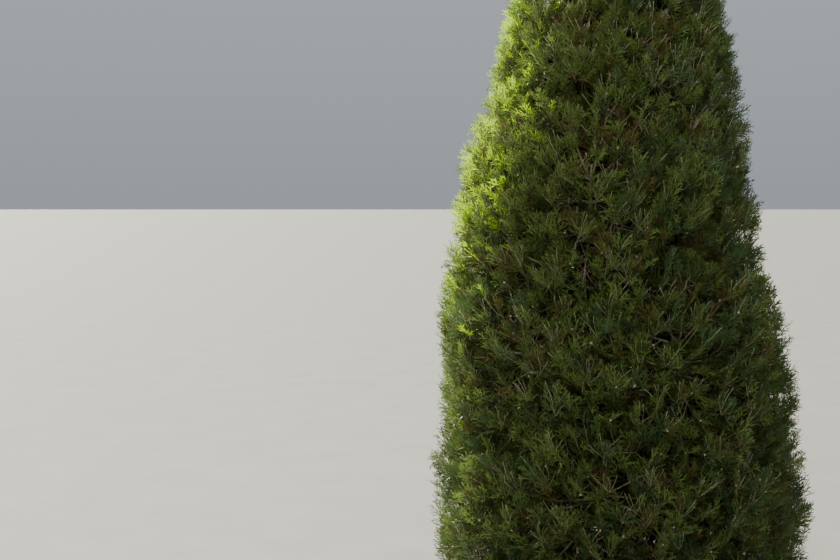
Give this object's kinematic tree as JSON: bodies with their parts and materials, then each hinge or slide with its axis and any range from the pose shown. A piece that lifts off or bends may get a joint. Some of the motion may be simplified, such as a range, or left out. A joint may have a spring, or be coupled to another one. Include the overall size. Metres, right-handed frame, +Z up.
{
  "type": "arborvitae",
  "caption": "Tall, dense, pointed evergreen tree with a straight trunk, rising boughs and masses of flat scale-leaved sprays from the ground to the tip.",
  "frame": {"origin": "middle of the flat cut under the trunk, at ground level", "axes": "+Z up along the trunk, +X to the right and -Y towards the viewer as the tree is seen from its front"},
  "size_m": [1.4792, 1.5206, 3.6471],
  "materials": {
    "bark": "rough",
    "foliage": "matte"
  },
  "bodies": {
    "root": {"bough_1_1": "bark", "bough_1_2": "bark", "bough_1_3": "bark", "bough_1_4": "bark", "bough_1_5": "bark", "bough_2_1": "bark", "bough_2_2": "bark", "bough_2_3": "bark", "bough_2_4": "bark", "bough_2_5": "bark", "bough_3_1": "bark", "bough_3_2": "bark", "bough_3_3": "bark", "bough_3_4": "bark", "bough_3_5": "bark", "bough_4_1": "bark", "bough_4_2": "bark", "bough_4_3": "bark", "bough_4_4": "bark", "bough_4_5": "bark", "bough_5_1": "bark", "bough_5_2": "bark", "bough_5_3": "bark", "bough_5_4": "bark", "bough_5_5": "bark", "foliage_1_1": "foliage", "foliage_1_2": "foliage", "foliage_1_3": "foliage", "foliage_1_4": "foliage", "foliage_1_5": "foliage", "foliage_2_1": "foliage", "foliage_2_2": "foliage", "foliage_2_3": "foliage", "foliage_2_4": "foliage", "foliage_2_5": "foliage", "foliage_3_1": "foliage", "foliage_3_2": "foliage", "foliage_3_3": "foliage", "foliage_3_4": "foliage", "foliage_3_5": "foliage", "foliage_4_1": "foliage", "foliage_4_2": "foliage", "foliage_4_3": "foliage", "foliage_4_4": "foliage", "foliage_4_5": "foliage", "foliage_5_1": "foliage", "foliage_5_2": "foliage", "foliage_5_3": "foliage", "foliage_5_4": "foliage", "foliage_5_5": "foliage", "foliage_top": "foliage", "trunk": "bark"}
  },
  "joints": []
}
